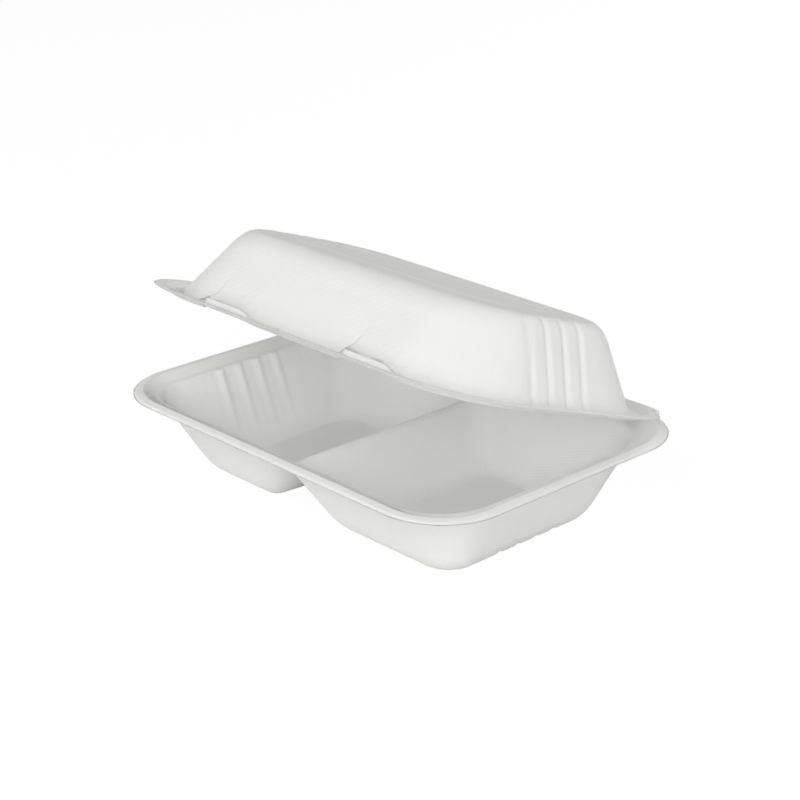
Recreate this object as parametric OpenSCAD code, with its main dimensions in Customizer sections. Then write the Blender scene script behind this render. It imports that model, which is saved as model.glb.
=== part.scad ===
// Hinged meal box with two compartments, hot-pressed from sugarcane pulp.
// One sheet forms the tray, the crease along its back edge and the lid.
// X runs along the long side, the front is at -Y, the crease is at +Y, the tray stands on Z = 0.

/* [Box] */
// Length over the rims
box_l = 232; // [214:1:250]
// Depth over the rims
box_d = 168; // [160:1:180]
// Corner radius of the tray's rim
rim_r = 34; // [30:0.5:38]
// Thickness of the pressed sheet
sheet = 1; // [0.8:0.1:1.3]
// Angle between the tray's rim and the lid's rim
lid_open = 19.4; // [5:0.2:90]

/* [Rims] */
// Width of the rim band
rim_w = 10; // [9:0.5:11]
// Distance of the band's crown from its outer edge
crown_w = 5; // [4:0.25:6]
// Fall from the crown to the tray's outer edge
crown_fall = 1; // [0.5:0.25:1.5]
// Fall from the crown to the band's inner edge
rim_fall = 2.8; // [2:0.2:3.4]
// Drop from the tray's rim band to the ledge
ledge_drop = 0.6; // [0.4:0.2:2]
// Width of the ledge
ledge_w = 2.2; // [1.5:0.1:4]
// Size of the round between the ledge and the tray's wall
ledge_round = 2; // [1:0.25:3]
// Gap between the two rims when the lid is shut
shut_gap = 0.3; // [0.3:0.05:0.6]

/* [Tray] */
// Height of the tray's rim above the table
tray_h = 43.4; // [38:0.2:50]
// Corner radius of the walls' upper ends, at the right compartment
head_r = 30; // [20:0.5:32]
// Corner radius of the walls' upper ends, at the left compartment
head_left_r = 22; // [18:0.5:32]
// Length of the floor, across both compartments
floor_l = 170; // [155:1:176]
// Depth of the floor
floor_d = 97; // [88:0.5:104]
// Corner radius of the floor
floor_r = 14; // [11:0.5:17]
// Size of the round between floor and wall
floor_round = 10; // [6:0.5:14]

/* [Divider] */
// Place of the divider along X
divider_x = -7.7; // [-15:0.1:15]
// Height of the divider's crest above the table
divider_h = 28.5; // [22:0.5:32]
// Lean of the divider's flanks
divider_lean = 25.5; // [20:0.5:30]
// Roundness of the divider's crest
divider_crest = 7; // [3:0.5:9]
// Size of the round where the divider meets the walls
divider_round = 22; // [8:1:26]
// Size of the round between the divider and the floors
divider_foot = 20; // [8:1:24]

/* [Ribs] */
// Number of ribs in a short wall, and of hollows at the floor's right end
rib_n = 4; // [2:1:4]
// Distance from rib to rib
rib_pitch = 11.8; // [9.5:0.1:12.5]
// Width of a rib
rib_w = 7; // [4:0.2:8]
// Place of the ribs along Y
rib_y = -6; // [-8:0.1:4]
// Depth of the ribs in the tray's left wall
tray_rib_depth = 1.4; // [0.8:0.1:2.4]
// Depth of the ribs in the lid's two short walls
lid_rib_depth = 1.3; // [0.8:0.1:2.4]
// Place along Y of the hollows under the floor's right end
hollow_y = 3.2; // [-4:0.1:6]
// Height of the hollows
hollow_h = 1.4; // [0.6:0.1:2]
// Length of the hollows, inwards from the floor's edge
hollow_l = 9; // [6:0.5:12]

/* [Lid] */
// Distance of the lid's short edges inside the tray's
lid_in = 1; // [0:0.25:2]
// Corner radius of the lid's rim
lid_r = 45; // [34:0.5:48]
// Height of the lid's top above the tray's rim, shut
lid_h = 36; // [30:0.5:42]
// Length of the lid's flat top
top_l = 178; // [165:1:186]
// Depth of the lid's flat top
top_d = 97; // [90:0.5:105]
// Corner radius of the lid's top
top_r = 31; // [22:0.5:36]
// Size of the round along the top's edge
top_round = 9; // [6:0.5:12]
// Corner radius of the wall's foot
foot_r = 46; // [35:0.5:48]
// Size of the round between the lid's wall and its rim
foot_round = 2.5; // [2:0.5:7]

/* [Bead on the lid's top] */
// Length of the bead's loop
bead_l = 130; // [110:1:140]
// Depth of the bead's loop
bead_d = 47; // [40:0.5:56]
// Corner radius of the bead's loop
bead_r = 14; // [10:0.5:18]
// Width of the bead
bead_w = 5; // [4:0.5:8]
// Height of the bead
bead_h = 0.7; // [0.4:0.1:2]

/* [Lugs on the lid's front wall] */
// Half the distance between the two lugs
lug_x = 47.2; // [42:0.2:50]
// Shift of both lugs to the right
lug_shift = 2.2; // [0:0.1:3]
// Width of a lug's face
lug_w = 22; // [14:0.5:24]
// Height of a lug's upper end above the tray's rim
lug_top = 17; // [12:0.5:20]
// Height of the shelf at a lug's lower end above the tray's rim
lug_shelf = 1.6; // [1.2:0.2:5]
// Width of the shelf, from the lug's foot to its face
lug_shelf_w = 3.6; // [2:0.2:4.5]
// Steepness of the step under the shelf, rise over run
lug_step = 3; // [2:0.5:8]
// Reach of the step beyond the wall's foot
lug_reach = 2.2; // [1:0.1:3]
// Steepness of a lug's left flank, rise over run
lug_flank = 3; // [1:0.1:4]
// Drop of a lug's right flank, which falls away ever steeper
lug_drop = 4.3; // [3:0.1:8]
// Width of the right flank where it has dropped so far
lug_spread = 11; // [8:0.5:16]
// Size of the round between the shelf and a lug's face
lug_fillet = 6; // [2:0.5:8]
// Size of the round between the step and the shelf
lug_brink = 2; // [0.5:0.25:3]
// Size of the round where a lug meets the wall
lug_round = 1; // [0.5:0.25:2]

/* [Crease] */
// Length of the crease, where tray and lid hang together
crease_l = 182; // [170:1:190]
// Distance from the rims' back edges to the folding line
crease_gap = 0.2; // [0.2:0.05:0.4]

/* [Hidden] */
pulp = [0.93, 0.93, 0.92];
probe = 0.2;
step_run = 1;
hollow_fade = hollow_l / 2;
hollow_end = 0.16;
lug_clear = 6;

// Rows of points: steps in a corner, rows round the divider and beside a lug, rings down a wall.
arc_steps = 6;
arc_clear = 5;
divider_rows = [-22, -16, -12, -8, -5, -2.5, 0, 2.5, 5, 8, 12, 16, 22];
beside = 6;
lug_rows = concat(
    [-lug_w / 2 - beside / 2],
    [for (i = [-1:0.5:1]) i * lug_w / 2],
    [lug_w / 2 + beside, lug_w / 2 + 2 * beside]
);
tray_rings = [0.97, 0.85, 0.6, 0.32, 0.2, 0.1, 0, -0.1, -0.24];
lid_rings = [1, 0.96, 0.9, 0.8, 0.6, 0.4, 0.22, 0.12, 0.04, -0.06, -0.2];

// An outline is a rounded rectangle round the origin: half length, half depth, corner radius.
rim = [box_l / 2, box_d / 2, rim_r];
ledge_line = [rim[0] - rim_w - step_run, rim[1] - rim_w - step_run, rim_r - rim_w - step_run];
wall_head = [ledge_line[0] - ledge_w, ledge_line[1] - ledge_w, head_r];
wall_head_left = [wall_head[0], wall_head[1], head_left_r];
lid_rim = [box_l / 2 - lid_in, box_d / 2, lid_r];
lid_foot = [lid_rim[0] - rim_w, lid_rim[1] - rim_w, foot_r];
floor_line = [floor_l / 2, floor_d / 2, floor_r];
top_line = [top_l / 2, top_d / 2, top_r];
bead_line = [bead_l / 2, bead_d / 2, bead_r];

ledge_z = tray_h - rim_fall - ledge_drop;
foot_z = tray_h - rim_fall + shut_gap;
top_z = tray_h + lid_h - sheet;
fold_y = box_d / 2 + crease_gap;
fold_z = tray_h + (shut_gap - crown_fall) / 2;
crest_slope = 1 / tan(divider_lean);
rib_places = [for (i = [0:rib_n - 1]) (i - (rib_n - 1) / 2) * rib_pitch];
rib_cuts = [-0.5, -0.25, 0, 0.25, 0.5] * rib_w;

// Outline o moved inwards by d all round.
function inset(o, d) = [o[0] - d, o[1] - d, o[2] - d];

// Outline at level s, where 0 is outline a and 1 is outline b.
function between(a, b, s) = a + (b - a) * s;

// The larger and the smaller of two heights, with a round of size k where they meet.
function soft_max(a, b, k) = max(a, b) + pow(max(k - abs(a - b), 0), 2) / (4 * k);
function soft_min(a, b, k) = min(a, b) - pow(max(k - abs(a - b), 0), 2) / (4 * k);

// Level of the point (x, y) on a wall that leans from outline a to outline b.
function level(x, y, a, b) =
    let (from = [a[0] - a[2], a[1] - a[2]])
    let (way = [b[0] - b[2], b[1] - b[2]] - from)
    let (s = max((x - a[0]) / (b[0] - a[0]), (y - a[1]) / (b[1] - a[1])))
    let (off = [x, y] - from)
    let (past = off - s * way)
    past[0] > 0 && past[1] > 0 ? corner_level(off, way, a[2], b[2] - a[2], s) : s;

// The same inside a corner, whose middle moves by way and whose radius grows by dr.
// Far under a floor the radius runs out, and there the level of the sides, plain, holds.
function corner_level(off, way, r, dr, plain) =
    let (p = way * way - dr * dr)
    let (q = off * way + r * dr)
    let (c = off * off - r * r)
    q > 0 && q * q >= p * c ? c / (q + sqrt(q * q - p * c)) : plain;

// Distance inwards from the edge of rim o.
function rim_inset(x, y, o) = max(0, rim_w * (1 - level(x, y, inset(o, rim_w), o)));

// Waves at y, from 0 to 1, for a row of ribs centred on y0.
function rib_row(y, y0) = max([for (c = rib_places) rib_wave((y - y0 - c) / rib_w)]);
function rib_wave(t) = abs(t) < 0.5 ? pow(cos(180 * t), 2) : 0;

// Rise from 0 to 1 while t goes from 0 to 1.
function ease(t) = let (u = min(max(t, 0), 1)) u * u * (3 - 2 * u);

// Upper face of the tray: rim band, ledge, leaning walls, floor and divider.
function tray_face(x, y) =
    let (ax = abs(x))
    let (ay = abs(y))
    let (head = x < 0 ? wall_head_left : wall_head)
    let (plain = level(ax, ay, floor_line, head))
    let (push = x < 0 ? tray_rib_depth * ease(plain) * rib_row(y, rib_y) : 0)
    let (s = level(ax + push, ay, floor_line, head))
    let (sides = soft_max(sheet + s * (ledge_z - sheet), divider_face(x), divider_round))
    let (from_divider = ease((divider_face(x) - sheet - s * (ledge_z - sheet)) / divider_h + 0.5))
    let (foot = floor_round + (divider_foot - floor_round) * from_divider)
    let (hollow = hollow_h * ease((x - floor_l / 2 + hollow_l) / hollow_fade) * rib_row(y, hollow_y))
    let (cells = soft_max(sheet, sides, foot) + hollow * (1 - ease(plain / hollow_end)))
    soft_min(cells, tray_rim_face(rim_inset(ax, ay, rim)), ledge_round);
function divider_face(x) =
    divider_h - crest_slope * (norm([x - divider_x, divider_crest]) - divider_crest);
function tray_rim_face(d) =
    lookup(d, [
        [0, tray_h - crown_fall],
        [crown_w, tray_h],
        [rim_w, tray_h - rim_fall],
        [rim_w + step_run, ledge_z],
        [box_d, ledge_z]
    ]);

// Lower face of the shut lid: rim band, leaning walls with two lugs, top with its bead.
function lid_face(x, y) =
    let (ax = abs(x))
    let (ay = abs(y))
    let (s = level(ax + lid_rib_depth * rib_row(y, rib_y), ay, top_line, lid_foot))
    let (shell = soft_min(top_z, top_z + s * (foot_z - top_z), top_round))
    let (past_crown = max(0, rim_inset(ax, ay, lid_rim) - crown_w))
    let (band = tray_h + shut_gap - past_crown * rim_fall / (rim_w - crown_w))
    let (plain = soft_max(shell, band, foot_round))
    let (top = plain + bead_lift(ax, ay))
    y < 0 ? soft_max(top, lug_face(x, y), lug_round) : top;
function bead_lift(x, y) =
    let (t = (level(x, y, bead_line, top_line) * (top_line[1] - bead_line[1])) / bead_w)
    abs(t) < 0.5 ? bead_h * pow(cos(180 * t), 2) : 0;

// Face of a lug: it leaves the wall at the lug's upper end, meets a shelf and ends in a step.
function lug_face(x, y) =
    let (foot_y = lid_foot[1] + lug_reach)
    let (w = foot_y + y)
    let (wall_run = (lid_foot[1] - top_line[1]) / (top_z - foot_z))
    let (head_w = lug_reach + (tray_h + lug_top - foot_z) * wall_run)
    let (slope = (lug_top - lug_shelf) / (head_w - lug_shelf_w))
    let (face = soft_max((w - lug_shelf_w) * slope, 0, lug_fillet) + lug_shelf)
    let (u = x - lug_shift - (x < lug_shift ? -lug_x : lug_x))
    let (past = abs(u) - lug_w / 2)
    let (side = u < 0 ? lug_flank * max(0, past) : lug_drop * pow(max(0, past) / lug_spread, 2))
    tray_h + min(soft_min(face, w * lug_step, lug_brink), lug_top + lug_clear) - side;

// Thickness of the sheet measured upright, where the face leans.
function upright(x, y, lid) =
    let (dx = face(x + probe, y, lid) - face(x - probe, y, lid))
    let (dy = face(x, y + probe, lid) - face(x, y - probe, lid))
    sheet * norm([1, dx / (2 * probe), dy / (2 * probe)]);
function face(x, y, lid) = lid ? lid_face(x, y) : tray_face(x, y);

// Points of an outline, anticlockwise from the middle of the front left corner.
// xs and ys are the places of the points along its sides, which may run on into the corners.
function ring(o, xs, ys) =
    let (r = o[2])
    let (c = [o[0] - r, o[1] - r])
    let (west = turn(-xs[0], c[0], r))
    let (east = turn(xs[len(xs) - 1], c[0], r))
    let (south = turn(-ys[0], c[1], r))
    let (north = turn(ys[len(ys) - 1], c[1], r))
    let (half = arc_steps / 2)
    concat(
        arc([-c[0], -c[1]], r, 225, 270 - west, half),
        [for (x = xs) [x, -side(x, c[0], c[1], r)]],
        arc([c[0], -c[1]], r, 270 + east, 360 - south, arc_steps),
        [for (y = ys) [side(y, c[1], c[0], r), y]],
        arc([c[0], c[1]], r, north, 90 - east, arc_steps),
        [for (i = [len(xs) - 1:-1:0]) [xs[i], side(xs[i], c[0], c[1], r)]],
        arc([-c[0], c[1]], r, 90 + west, 180 - north, arc_steps),
        [for (i = [len(ys) - 1:-1:0]) [-side(ys[i], c[1], c[0], r), ys[i]]],
        arc([-c[0], -c[1]], r, 180 + south, 225, half, 1)
    );
function side(along, c, across, r) =
    across + (abs(along) > c ? sqrt(r * r - pow(abs(along) - c, 2)) : r);
function turn(last, c, r) = last > c - step_run ? asin(max(last - c, 0) / r) + arc_clear : 0;
function arc(mid, r, from, to, n, spare = 0) =
    [for (i = [0:n - spare]) let (a = from + (to - from) * i / n) mid + r * [cos(a), sin(a)]];

// Back corners of a rim run straight out to the end of the crease.
function straight_back(points) =
    [for (p = points) p[1] > 0 && abs(p[0]) <= crease_l / 2 ? [p[0], box_d / 2] : p];

// Points inside the last ring, row by row, blended from its four sides.
function patch(edge, nx, ny) =
    [for (j = [1:ny - 1]) for (i = [1:nx - 1]) patch_point(edge, nx, ny, i, j)];
function patch_point(edge, nx, ny, i, j) =
    let (u = i / nx)
    let (v = j / ny)
    let (front = edge[i])
    let (right = edge[nx + j])
    let (back = edge[2 * nx + ny - i])
    let (left = edge[(2 * nx + 2 * ny - j) % len(edge)])
    let (low = (1 - u) * edge[0] + u * edge[nx])
    let (high = (1 - u) * edge[2 * nx + ny] + u * edge[nx + ny])
    (1 - v) * front + v * back + (1 - u) * left + u * right - (1 - v) * low - v * high;

// Even places between a and b.
function spread(a, b, n) = [for (i = [1:n]) a + (b - a) * i / (n + 1)];

// Number of the point at column i and row j of the patch, counted on from the rings.
function patch_index(first, n, nx, ny, i, j) =
    j == 0 ? first + i :
    i == nx ? first + nx + j :
    j == ny ? first + 2 * nx + ny - i :
    i == 0 ? first + (2 * nx + 2 * ny - j) % n :
    first + n + (j - 1) * (nx - 1) + i - 1;

// A pressed shell with the given rings, outermost first, and a patch inside the last one.
module shell(rings, nx, ny, lid) {
    n = len(rings[0]);
    flat = concat([for (r = rings) each r], patch(rings[len(rings) - 1], nx, ny));
    total = len(flat);
    below = [total, total, total];
    first = (len(rings) - 1) * n;
    faces_z = [for (p = flat) face(p[0], p[1], lid)];
    other_z = [for (i = [0:total - 1])
        faces_z[i] + (lid ? 1 : -1) * upright(flat[i][0], flat[i][1], lid)];
    upper = lid ? other_z : faces_z;
    lower = lid ? faces_z : other_z;
    quads = concat(
        [for (k = [0:len(rings) - 2]) for (i = [0:n - 1])
            [k * n + i, k * n + (i + 1) % n, (k + 1) * n + (i + 1) % n, (k + 1) * n + i]],
        [for (j = [0:ny - 1]) for (i = [0:nx - 1]) [
            patch_index(first, n, nx, ny, i, j),
            patch_index(first, n, nx, ny, i + 1, j),
            patch_index(first, n, nx, ny, i + 1, j + 1),
            patch_index(first, n, nx, ny, i, j + 1)
        ]]
    );
    polyhedron(
        points = concat(
            [for (i = [0:total - 1]) [flat[i][0], flat[i][1], upper[i]]],
            [for (i = [0:total - 1]) [flat[i][0], flat[i][1], lower[i]]]
        ),
        faces = concat(
            [for (q = quads) each [[q[2], q[1], q[0]], [q[3], q[2], q[0]]]],
            [for (q = quads) each [[q[0], q[1], q[2]] + below, [q[0], q[2], q[3]] + below]],
            [for (i = [0:n - 1]) let (j = (i + 1) % n) each [[i, j, i + total], [j, j + total, i + total]]]
        )
    );
}

// Tray with two compartments.
module base() {
    middle = [for (d = divider_rows) divider_x + d];
    straight = wall_head[0] - wall_head[2];
    xs = concat(
        spread(-straight, middle[0], 2),
        middle,
        spread(middle[len(middle) - 1], straight, 3)
    );
    ys = [for (c = rib_places) for (d = rib_cuts) rib_y + c + d];
    bands = [
        straight_back(ring(rim, xs, ys)),
        ring(inset(rim, crown_w), xs, ys),
        ring(inset(rim, rim_w), xs, ys),
        ring(ledge_line, xs, ys),
        ring(between(ledge_line, wall_head, 2 / 3), xs, ys)
    ];
    walls = [for (s = tray_rings) ring(between(floor_line, wall_head, s), xs, ys)];
    color(pulp) shell(concat(bands, walls), len(xs) + arc_steps + 1, len(ys) + arc_steps + 1, false);
}

// Lid, turned open about the crease.
module lid() {
    left = [for (d = lug_rows) lug_shift - lug_x + d];
    right = [for (d = lug_rows) lug_shift + lug_x + d];
    xs = concat(left, spread(left[len(left) - 1], right[0], 3), right);
    ys = [for (c = rib_places) for (d = rib_cuts) rib_y + c + d];
    step = rim_w - lug_reach;
    bands = [
        straight_back(ring(lid_rim, xs, ys)),
        ring(inset(lid_rim, crown_w), xs, ys),
        ring(inset(lid_rim, step - step_run), xs, ys),
        ring(inset(lid_rim, step), xs, ys)
    ];
    walls = [for (s = lid_rings) ring(between(top_line, lid_foot, s), xs, ys)];
    color(pulp)
        translate([0, fold_y, fold_z])
            rotate([-lid_open, 0, 0])
                translate([0, -fold_y, -fold_z])
                    shell(concat(bands, walls), len(xs) + arc_steps + 1, len(ys) + arc_steps + 1, true);
}

base();
lid();
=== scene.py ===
import math
import bpy
import numpy as np
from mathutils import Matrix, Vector


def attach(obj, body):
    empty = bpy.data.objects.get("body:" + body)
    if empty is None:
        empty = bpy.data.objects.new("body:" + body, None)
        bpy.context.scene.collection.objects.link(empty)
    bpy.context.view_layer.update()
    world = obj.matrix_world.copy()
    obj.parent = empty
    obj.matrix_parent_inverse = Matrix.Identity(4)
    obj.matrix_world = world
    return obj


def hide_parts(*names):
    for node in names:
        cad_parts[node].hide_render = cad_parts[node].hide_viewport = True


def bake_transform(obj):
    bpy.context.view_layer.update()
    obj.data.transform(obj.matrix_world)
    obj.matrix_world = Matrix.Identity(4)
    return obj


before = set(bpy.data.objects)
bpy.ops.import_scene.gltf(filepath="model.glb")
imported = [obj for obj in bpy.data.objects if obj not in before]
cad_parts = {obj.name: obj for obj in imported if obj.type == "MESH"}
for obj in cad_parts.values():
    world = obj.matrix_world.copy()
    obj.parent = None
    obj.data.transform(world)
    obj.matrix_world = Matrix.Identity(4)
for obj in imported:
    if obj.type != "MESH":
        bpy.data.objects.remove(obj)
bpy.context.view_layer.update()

# The view. The box stands on a table and is seen from its front right corner, a little
# from above, so that both compartments show under the half open lid.
eye = Vector((0.6220, -0.5886, 0.3908))
view_turn, view_rise = math.radians(46.4), math.radians(21.9)
focal, picture_w, film_w = 1948.8, 800, 36
back_of_view = Vector((
    math.sin(view_turn) * math.cos(view_rise),
    -math.cos(view_turn) * math.cos(view_rise),
    math.sin(view_rise)))
view = bpy.data.objects.new("view", bpy.data.cameras.new("view"))
view.location = eye
view.rotation_euler = (-back_of_view).to_track_quat("-Z", "Y").to_euler()
view.data.lens = focal / picture_w * film_w
view.data.sensor_width = film_w
view.data.clip_start = 0.05
view.data.clip_end = 20
bpy.context.collection.objects.link(view)
bpy.context.scene.camera = view


# The tray. Two compartments with a low divider between them, pressed hot from wet
# sugarcane fibre between two heated moulds. The outer side shows the weave of the screen
# that drained it. The sheet is one millimetre thick and its trimmed edge is rounded.
box_l, box_d, rim_r, sheet = 232, 168, 34, 1.0
rim_w, rim_fall, trough_round = 10, 2.8, 0.8
crown_w, crown_fall, crown_round = 5, 1, 0.5
ledge_drop, ledge_w, ledge_round, step_run = 0.6, 2.2, 2, 1
shut_gap, tray_h, head_r, head_left_r = 0.3, 43.4, 30, 22
floor_l, floor_d, floor_r, floor_round = 170, 97, 14, 10
rim = np.array([box_l / 2, box_d / 2, rim_r])
ledge_line = rim - rim_w - step_run
wall_head = np.array([ledge_line[0] - ledge_w, ledge_line[1] - ledge_w, head_r])
wall_head_left = np.array([wall_head[0], wall_head[1], head_left_r])
floor_line = np.array([floor_l / 2, floor_d / 2, floor_r])
ledge_z = tray_h - rim_fall - ledge_drop
divider_x, divider_h, divider_lean, divider_crest = -7.7, 28.5, 25.5, 7
divider_round, divider_foot = 22, 20
rib_n, rib_pitch, rib_w, rib_y, tray_rib_depth = 4, 11.8, 7, -6, 1.4
hollow_y, hollow_h, hollow_l, hollow_end = 3.2, 1.4, 9, 0.16
crease_l, crease_gap = 182, 0.2
crease_half = crease_l / 2
fold_y, fold_z = box_d / 2 + crease_gap, tray_h + (shut_gap - crown_fall) / 2
edge_round = 0.5


def inset(line, d):
    """Outline moved inwards by d. An outline is half length, half depth and corner radius."""
    return line - d


def soft_max(a, b, k):
    """The larger of two heights, with a round of size k where they meet."""
    return np.maximum(a, b) + np.maximum(k - np.abs(a - b), 0) ** 2 / (4 * k)


def soft_min(a, b, k):
    """The smaller of two heights, with a round of size k where they meet."""
    return np.minimum(a, b) - np.maximum(k - np.abs(a - b), 0) ** 2 / (4 * k)


def level(x, y, a, b):
    """Level of a point on a wall that leans from outline a, at 0, to outline b, at 1."""
    start = a[:2] - a[2]
    way = (b[:2] - b[2]) - start
    grow = b[2] - a[2]
    s = np.maximum((x - a[0]) / (b[0] - a[0]), (y - a[1]) / (b[1] - a[1]))
    off_x, off_y = x - start[0], y - start[1]
    in_corner = (off_x - s * way[0] > 0) & (off_y - s * way[1] > 0)
    p = way @ way - grow * grow
    q = off_x * way[0] + off_y * way[1] + a[2] * grow
    c = off_x ** 2 + off_y ** 2 - a[2] ** 2
    inner = q * q - p * c
    in_corner &= (q > 0) & (inner >= 0)
    corner = c / np.where(in_corner, q + np.sqrt(np.maximum(inner, 0)), 1)
    return np.where(in_corner, corner, s)


def rim_inset(x, y, line):
    """Distance inwards from the edge of a rim."""
    return np.maximum(0, rim_w * (1 - level(x, y, inset(line, rim_w), line)))


def rib_row(y, middle):
    """Waves at y, from 0 to 1, for a row of ribs."""
    places = middle + (np.arange(rib_n) - (rib_n - 1) / 2) * rib_pitch
    waves = [(y - place) / rib_w for place in places]
    return sum(np.where(np.abs(w) < 0.5, np.cos(np.pi * w) ** 2, 0) for w in waves)


def ease(t):
    """Soft rise from 0 to 1 while t goes from 0 to 1."""
    u = np.clip(t, 0, 1)
    return u * u * (3 - 2 * u)


def tray_face(x, y):
    """Height of the tray's upper face: rim band, ledge, leaning walls, divider and floors."""
    ax, ay = np.abs(x), np.abs(y)
    plain_left = level(ax, ay, floor_line, wall_head_left)
    plain = np.where(x < 0, plain_left, level(ax, ay, floor_line, wall_head))
    push = np.where(x < 0, tray_rib_depth * ease(plain) * rib_row(y, rib_y), 0)
    s = np.where(x < 0, level(ax + push, ay, floor_line, wall_head_left), plain)
    lean = 1 / math.tan(math.radians(divider_lean))
    divider = divider_h - lean * (np.hypot(x - divider_x, divider_crest) - divider_crest)
    sides = soft_max(sheet + s * (ledge_z - sheet), divider, divider_round)
    from_divider = ease((divider - sheet - s * (ledge_z - sheet)) / divider_h + 0.5)
    foot = floor_round + (divider_foot - floor_round) * from_divider
    from_right = (x - floor_line[0] + hollow_l) * 2 / hollow_l
    hollows = hollow_h * ease(from_right) * rib_row(y, hollow_y)
    cells = soft_max(sheet, sides, foot) + hollows * (1 - ease(plain / hollow_end))
    d = rim_inset(ax, ay, rim)
    outward = tray_h + (d - crown_w) * crown_fall / crown_w
    inward = tray_h - (d - crown_w) * rim_fall / (rim_w - crown_w)
    band = soft_max(soft_min(outward, inward, crown_round), ledge_z, trough_round)
    return soft_min(cells, band, ledge_round)


def ring(line, along, across, turn):
    """Points round an outline, from the middle of its front left corner, anticlockwise."""
    cx, cy, r = line[0] - line[2], line[1] - line[2], line[2]
    half = np.radians(np.linspace(0, 45, turn + 1))
    points = []
    sides = [((-cx, -cy), (cx, -cy), along), ((cx, -cy), (cx, cy), across),
             ((cx, cy), (-cx, cy), along), ((-cx, cy), (-cx, -cy), across)]
    for k, (first, last, n) in enumerate(sides):
        out = math.radians(270 + 90 * k)
        first, last = np.array(first), np.array(last)
        for a in out - half[:0:-1]:
            points.append(first + r * np.array([math.cos(a), math.sin(a)]))
        for t in np.linspace(0, 1, n + 1):
            points.append(first + (last - first) * t + r * np.array([math.cos(out), math.sin(out)]))
        for a in out + half[1:-1]:
            points.append(last + r * np.array([math.cos(a), math.sin(a)]))
    return np.array(points)


def patch(edge, nx, ny):
    """Rows of points inside the last ring, blended from its four sides."""
    u = np.linspace(0, 1, nx + 1)[1:-1, None]
    low, right = edge[:nx + 1], edge[nx:nx + ny + 1]
    high = edge[nx + ny:2 * nx + ny + 1][::-1]
    left = np.vstack([edge[2 * nx + ny:], edge[:1]])[::-1]
    rows = []
    for j in range(1, ny):
        v = j / ny
        low_ends = (1 - u) * low[0] + u * low[-1]
        high_ends = (1 - u) * high[0] + u * high[-1]
        rows.append((1 - v) * low[1:-1] + v * high[1:-1] + (1 - u) * left[j] + u * right[j]
                    - (1 - v) * low_ends - v * high_ends)
    return np.vstack(rows)


def pressed_sheet(name, face, above, lines, insets, turned=0.0):
    """A closed shell of the pressed sheet: one mould's face, and the other one sheet away.
    The shell is turned about the crease, in degrees."""
    along, across, turn = 118, 70, 12
    nx, ny = along + 2 * turn, across + 2 * turn
    rings = [ring(line, along, across, turn) for line in lines]
    outer = rings[0]
    at_back = (outer[:, 1] > 0) & (np.abs(outer[:, 0]) <= crease_half + 0.5)
    for points, d in zip(rings, insets):
        if d < rim_w:
            straight = box_d / 2 - d
            points[at_back, 1] += (straight - points[at_back, 1]) * (1 - d / rim_w)
    n = len(outer)
    flat = np.vstack(rings + [patch(rings[-1], nx, ny)])
    x, y = flat[:, 0], flat[:, 1]
    z = face(x, y)
    probe = 0.2
    dx = (face(x + probe, y) - face(x - probe, y)) / (2 * probe)
    dy = (face(x, y + probe) - face(x, y - probe)) / (2 * probe)
    upright = sheet * np.sqrt(1 + dx ** 2 + dy ** 2)
    middle = z + (0.5 if above else -0.5) * upright
    depth = np.full(len(flat), rim_w)
    depth[:n * len(insets)] = np.repeat(insets, n)
    fullness = np.sqrt(np.clip(1 - (1 - np.minimum(depth / edge_round, 1)) ** 2, 0, 1))
    top = np.column_stack([x, y, middle + fullness * upright / 2])
    bottom = np.column_stack([x, y, middle - fullness * upright / 2])[n:]
    total = len(flat)
    index = np.arange(total)
    first = (len(rings) - 1) * n
    grid = np.zeros((ny + 1, nx + 1), int)
    loop = np.arange(n)
    grid[0, :] = first + loop[:nx + 1]
    grid[:, nx] = first + loop[nx:nx + ny + 1]
    grid[ny, ::-1] = first + loop[nx + ny:2 * nx + ny + 1]
    grid[::-1, 0] = first + np.append(loop[2 * nx + ny:], 0)
    grid[1:ny, 1:nx] = first + n + np.arange((ny - 1) * (nx - 1)).reshape(ny - 1, nx - 1)
    quads = []
    for k in range(len(rings) - 1):
        a, b = k * n + loop, k * n + np.roll(loop, -1)
        quads.append(np.column_stack([a, b, b + n, a + n]))
    quads.append(np.column_stack([c.ravel() for c in
                 (grid[:-1, :-1], grid[:-1, 1:], grid[1:, 1:], grid[1:, :-1])]))
    upper = np.vstack(quads)
    under = np.where(index < n, index, index - n + total)[upper[:, ::-1]]
    points = np.vstack([top, bottom])
    t = math.radians(turned)
    fold = np.array([0, fold_y, fold_z])
    rel = points - fold
    points = fold + np.column_stack([
        rel[:, 0],
        rel[:, 1] * math.cos(t) + rel[:, 2] * math.sin(t),
        -rel[:, 1] * math.sin(t) + rel[:, 2] * math.cos(t)])
    mesh = bpy.data.meshes.new(name)
    mesh.from_pydata((points / 1000).tolist(), [], np.vstack([upper, under]).tolist())
    mesh.validate()
    mesh.shade_smooth()
    piece = bpy.data.objects.new(name, mesh)
    bpy.context.collection.objects.link(piece)
    return piece


def linear(code):
    """Linear colour of an sRGB hex value."""
    parts = [int(code[i:i + 2], 16) / 255 for i in (1, 3, 5)]
    return [c / 12.92 if c <= 0.04045 else ((c + 0.055) / 1.055) ** 2.4 for c in parts] + [1.0]


def add_node(tree, kind, settings=None, **links):
    """Adds a node. A setting is a property or an input, and a link feeds an input."""
    node = tree.nodes.new(kind)
    for key, value in (settings or {}).items():
        if isinstance(key, str) and hasattr(node, key):
            setattr(node, key, value)
        else:
            node.inputs[key].default_value = value
    for key, source in links.items():
        place = int(key[1:]) if key[0] == "_" and key[1:].isdigit() else key.replace("_", " ")
        tree.links.new(source, node.inputs[place])
    return node


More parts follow.
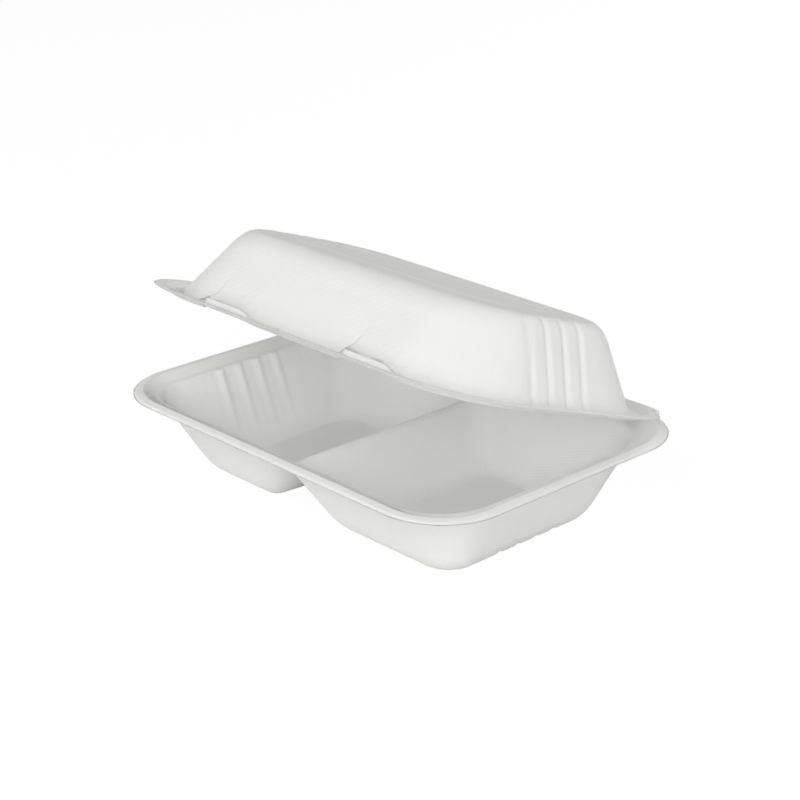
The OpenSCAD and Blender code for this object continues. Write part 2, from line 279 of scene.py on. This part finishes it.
def pulp_material(name, turned):
    """Pressed sugarcane pulp: pale, dull and a little mottled, with short fibres lying in its
    face and the fine weave of the draining screen on its outer side."""
    material = bpy.data.materials.new(name)
    material.use_nodes = True
    tree = material.node_tree
    tree.nodes.clear()
    cloud_size, grain_size, fibre_size, wire_pitch = 0.018, 0.0011, 0.004, 0.00135
    place = add_node(tree, "ShaderNodeTexCoord").outputs["Object"]
    own = add_node(tree, "ShaderNodeVectorRotate", {
        "rotation_type": "X_AXIS",
        "Center": (0, fold_y / 1000, fold_z / 1000),
        "Angle": math.radians(turned)}, Vector=place).outputs["Vector"]
    cloud = add_node(tree, "ShaderNodeTexNoise", {
        "Scale": 1 / cloud_size, "Detail": 3.0, "Roughness": 0.55}, Vector=own).outputs["Fac"]
    grain = add_node(tree, "ShaderNodeTexNoise", {
        "Scale": 1 / grain_size, "Detail": 2.0, "Roughness": 0.6}, Vector=own).outputs["Fac"]
    mottled = add_node(tree, "ShaderNodeMix", {
        "data_type": "RGBA", 6: linear("#f2f2f0"), 7: linear("#f6f6f4")}, Factor=cloud)

    # Short fibres lie in the face and show as slightly darker flecks.
    stretched = add_node(tree, "ShaderNodeMapping", {
        "Rotation": (0.3, 0.5, 0.6), "Scale": (1.0, 5.0, 5.0)}, Vector=own)
    fibre = add_node(tree, "ShaderNodeTexNoise", {
        "Scale": 1 / fibre_size, "Detail": 1.0}, Vector=stretched.outputs[0])
    strands = add_node(tree, "ShaderNodeMapRange", {
        "From Min": 0.70, "From Max": 0.84, "To Min": 0.0, "To Max": 1.0},
                       Value=fibre.outputs["Fac"])
    flecked = add_node(tree, "ShaderNodeMix", {
        "data_type": "RGBA", 7: linear("#e9e7df")},
                       Factor=strands.outputs["Result"], _6=mottled.outputs[2])

    # The screen's wires run three ways. The rows that climb a little along the box show most.
    faint = 0.25
    wires = []
    for way in ((-0.29, 0.0, 1.0), (1.0, 0.0, 0.29), (0.0, 1.0, 0.0)):
        waves = tuple(c * 2 * math.pi / wire_pitch for c in way)
        run = add_node(tree, "ShaderNodeVectorMath", {
            "operation": "DOT_PRODUCT", 1: waves}, _0=own)
        wires.append(add_node(tree, "ShaderNodeMath", {
            "operation": "SINE"}, _0=run.outputs["Value"]).outputs[0])
    woven = wires[0]
    for wire in wires[1:]:
        woven = add_node(tree, "ShaderNodeMath", {
            "operation": "MULTIPLY_ADD", 1: faint}, _0=wire, _2=woven).outputs[0]

    # The face is uneven in wide swells, in the pulp's grain and in the screen's imprint.
    relief = add_node(tree, "ShaderNodeBump", {
        "Strength": 0.35, "Distance": 0.0006}, Height=cloud)
    rough = add_node(tree, "ShaderNodeBump", {
        "Strength": 0.5, "Distance": 0.00008}, Height=grain, Normal=relief.outputs[0])
    screen = add_node(tree, "ShaderNodeBump", {
        "Strength": 0.35, "Distance": 0.00004}, Height=woven, Normal=rough.outputs[0])
    shader = add_node(tree, "ShaderNodeBsdfPrincipled", {
        "Roughness": 0.9, "IOR": 1.45, "Specular IOR Level": 0.25,
        "Subsurface Weight": 0.8, "Subsurface Radius": (1.0, 0.97, 0.92),
        "Subsurface Scale": 0.001}, Base_Color=flecked.outputs[2], Normal=screen.outputs[0])
    add_node(tree, "ShaderNodeOutputMaterial", {}, Surface=shader.outputs[0])
    return material


edge_steps = [0.0, 0.04, 0.15, 0.32, 0.5]
tray_insets = np.array(edge_steps + [
    1, 2, 3, 4, 4.5, 4.8, 5, 5.2, 5.5, 6, 7, 8, 9, 9.6, 10, 10.3, 10.6, 11])
tray_lines = [inset(rim, d) for d in tray_insets]
tray_lines += [ledge_line + (wall_head - ledge_line) * s for s in (0.2, 0.4, 0.6, 0.8)]
tray_lines += [floor_line + (wall_head - floor_line) * s for s in np.linspace(1, -0.28, 46)]
tray = pressed_sheet("tray_sheet", tray_face, False, tray_lines, tray_insets)
tray.data.materials.append(pulp_material("pressed_pulp_tray", 0))
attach(tray, "base")
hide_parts("base")


# The lid. It is pressed in one with the tray. Its walls lean in to a flat top with a low
# bead, four ribs stiffen each short wall, and two lugs stand out on the front wall.
lid_open, lid_h, lid_in, lid_r, foot_r = 19.4, 36, 1, 45, 46
top_round, foot_round, lid_rib_depth = 9, 2.5, 1.3
lid_rim = np.array([box_l / 2 - lid_in, box_d / 2, lid_r])
lid_foot = np.array([lid_rim[0] - rim_w, lid_rim[1] - rim_w, foot_r])
top_line = np.array([178 / 2, 97 / 2, 31])
bead_line = np.array([130 / 2, 47 / 2, 14])
bead_w, bead_h = 5, 0.7
lug_x, lug_shift, lug_w, lug_top, lug_shelf, lug_shelf_w = 47.2, 2.2, 22, 17, 1.6, 3.6
lug_step, lug_reach, lug_flank, lug_drop, lug_spread = 3, 2.2, 3, 4.3, 11
lug_fillet, lug_brink, lug_round, lug_clear = 6, 2, 1, 6
foot_z = tray_h - rim_fall + shut_gap
top_z = tray_h + lid_h - sheet


def lid_face(x, y):
    """Height of the shut lid's lower face: rim band, leaning walls with two lugs, beaded top."""
    ax, ay = np.abs(x), np.abs(y)
    s = level(ax + lid_rib_depth * rib_row(y, rib_y), ay, top_line, lid_foot)
    shell = soft_min(top_z, top_z + s * (foot_z - top_z), top_round)
    past_crown = soft_max(rim_inset(ax, ay, lid_rim) - crown_w, 0, 0.8)
    band = tray_h + shut_gap - past_crown * rim_fall / (rim_w - crown_w)
    t = level(ax, ay, bead_line, top_line) * (top_line[1] - bead_line[1]) / bead_w
    bead = np.where(np.abs(t) < 0.5, bead_h * np.cos(np.pi * t) ** 2, 0)
    top = soft_max(shell, band, foot_round) + bead
    w = lid_foot[1] + lug_reach + y
    wall_run = (lid_foot[1] - top_line[1]) / (top_z - foot_z)
    head_w = lug_reach + (tray_h + lug_top - foot_z) * wall_run
    slope = (lug_top - lug_shelf) / (head_w - lug_shelf_w)
    front = soft_max((w - lug_shelf_w) * slope, 0, lug_fillet) + lug_shelf
    u = x - lug_shift - np.where(x < lug_shift, -lug_x, lug_x)
    past = np.maximum(0, np.abs(u) - lug_w / 2)
    side = np.where(u < 0, lug_flank * past, lug_drop * (past / lug_spread) ** 2)
    lug = tray_h + np.minimum(soft_min(front, w * lug_step, lug_brink), lug_top + lug_clear) - side
    return np.where(y < 0, soft_max(top, lug, lug_round), top)


lid_insets = np.array(edge_steps + [1, 2, 3, 4, 4.6, 5, 5.4, 6, 6.8, 7.2, 7.5, 7.8, 8.2, 8.8, 9.4])
lid_lines = [inset(lid_rim, d) for d in lid_insets]
lid_lines += [top_line + (lid_foot - top_line) * s for s in np.linspace(1, -0.24, 50)]
lid = pressed_sheet("lid_sheet", lid_face, True, lid_lines, lid_insets, lid_open)
lid.data.materials.append(pulp_material("pressed_pulp_lid", -lid_open))
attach(lid, "lid")
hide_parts("lid")


# The crease. Along the back the one sheet is pressed thin and bends, so it holds tray and
# lid together and is the hinge. Its two ends are cut square.
turn_in = math.radians(lid_open)
near, far = (shut_gap + crown_fall) / 2, (shut_gap + crown_fall) / 2 + sheet
skin, bite, bend_steps = 0.03, 0.7, 13
outer, inner = math.hypot(crease_gap, far) - skin, math.hypot(crease_gap, near) + skin
tray_end = math.atan2(-far, -crease_gap)
lid_end = math.atan2(far, -crease_gap) - turn_in
inner_ends = [math.atan2(-near, -crease_gap), math.atan2(near, -crease_gap) - turn_in]
section = []
for d in (bite, bite / 2):
    section.append(((-crease_gap - d, skin - far), (-crease_gap - d, -skin - near)))
for a in np.linspace(tray_end, lid_end, bend_steps):
    b = np.interp(a, [tray_end, lid_end], inner_ends)
    section.append(((outer * math.cos(a), outer * math.sin(a)),
                    (inner * math.cos(b), inner * math.sin(b))))
for d in (bite / 2, bite):
    pair = []
    for y, z in ((-crease_gap - d, far - skin), (-crease_gap - d, near + skin)):
        pair.append((y * math.cos(turn_in) + z * math.sin(turn_in),
                     -y * math.sin(turn_in) + z * math.cos(turn_in)))
    section.append(tuple(pair))
places = np.linspace(-crease_half, crease_half, 183)
loop = [p[0] for p in section] + [p[1] for p in section[::-1]]
points = [(x, fold_y + y, fold_z + z) for x in places for y, z in loop]
count = len(loop)
faces = []
for k in range(len(places) - 1):
    for i in range(count):
        j = (i + 1) % count
        faces.append((k * count + i, k * count + j, (k + 1) * count + j, (k + 1) * count + i))
for k, flip in ((0, False), (len(places) - 1, True)):
    for i in range(len(section) - 1):
        quad = [k * count + c for c in (i, count - 1 - i, count - 2 - i, i + 1)]
        faces.append(quad[::-1] if flip else quad)
mesh = bpy.data.meshes.new("crease")
mesh.from_pydata([tuple(c / 1000 for c in p) for p in points], [], faces)
mesh.validate()
mesh.shade_smooth()
crease = bpy.data.objects.new("crease", mesh)
bpy.context.collection.objects.link(crease)
crease.data.materials.append(tray.data.materials[0])
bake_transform(crease)


# The studio. A matt white table runs on into a white background. Soft boxes stand low at the
# front, so that their light reaches in under the lid, and one behind lights the lid's top.
table_mesh = bpy.data.meshes.new("table")
table_mesh.from_pydata([(-3, -3, 0), (3, -3, 0), (3, 3, 0), (-3, 3, 0)], [], [(0, 1, 2, 3)])
table = bpy.data.objects.new("table", table_mesh)
bpy.context.collection.objects.link(table)


def seen_white(tree, share):
    """Share of the plain white glow in what a ray meets. Only a ray from the camera, off a
    gloss or through a glass meets it, and every other ray finds the plain room."""
    ray = add_node(tree, "ShaderNodeLightPath").outputs
    gloss = add_node(tree, "ShaderNodeMath", {"operation": "MAXIMUM"},
                     _0=ray["Is Glossy Ray"], _1=ray["Is Transmission Ray"])
    shows = add_node(tree, "ShaderNodeMath", {"operation": "MAXIMUM"},
                     _0=ray["Is Camera Ray"], _1=gloss.outputs[0])
    part = add_node(tree, "ShaderNodeMath", {"operation": "MULTIPLY", 1: share},
                    _0=shows.outputs[0])
    return part.outputs[0]


white = bpy.data.materials.new("matt_white_table")
white.use_nodes = True
tree = white.node_tree
tree.nodes.clear()
glow = add_node(tree, "ShaderNodeEmission", {"Color": (1, 1, 1, 1), "Strength": 1.06})
paint = add_node(tree, "ShaderNodeBsdfDiffuse", {"Color": linear("#dcdcdc")})
both = add_node(tree, "ShaderNodeMixShader", {},
                Fac=seen_white(tree, 0.9), _1=paint.outputs[0], _2=glow.outputs[0])
add_node(tree, "ShaderNodeOutputMaterial", {}, Surface=both.outputs[0])
table.data.materials.append(white)

world = bpy.data.worlds.new("white_room")
bpy.context.scene.world = world
world.use_nodes = True
tree = world.node_tree
tree.nodes.clear()
room = add_node(tree, "ShaderNodeBackground", {"Color": (1, 1, 1, 1), "Strength": 0.03})
backdrop = add_node(tree, "ShaderNodeBackground", {"Color": (1, 1, 1, 1), "Strength": 1.0})
both = add_node(tree, "ShaderNodeMixShader", {},
                Fac=seen_white(tree, 1.0), _1=room.outputs[0], _2=backdrop.outputs[0])
add_node(tree, "ShaderNodeOutputWorld", {}, Surface=both.outputs[0])


def soft_box(name, way, watts):
    """A square soft box that faces the table, in metres and watts."""
    width, distance = 1.2, 1.8
    lamp = bpy.data.objects.new(name, bpy.data.lights.new(name, "AREA"))
    lamp.data.shape = "SQUARE"
    lamp.data.size = width
    lamp.data.energy = watts
    lamp.location = Vector(way).normalized() * distance
    lamp.rotation_euler = (Vector((0, 0, 0.05)) - lamp.location).to_track_quat("-Z", "Y").to_euler()
    bpy.context.collection.objects.link(lamp)


soft_box("soft_box_beside_camera", (0.72, -0.69, 0.3), 15)
soft_box("soft_box_above_camera", (0.65, -0.65, 0.8), 6.5)
soft_box("soft_box_front", (-0.1, -1.0, 0.9), 4.5)
soft_box("soft_box_low_front", (0.0, -1.0, 0.3), 4)
soft_box("soft_box_left", (-0.9, -0.6, 0.35), 11)
soft_box("soft_box_right", (1.0, -0.1, 0.35), 4)
soft_box("soft_box_back", (0.0, 1.0, 0.6), 14)

bpy.context.scene.view_settings.view_transform = "Standard"
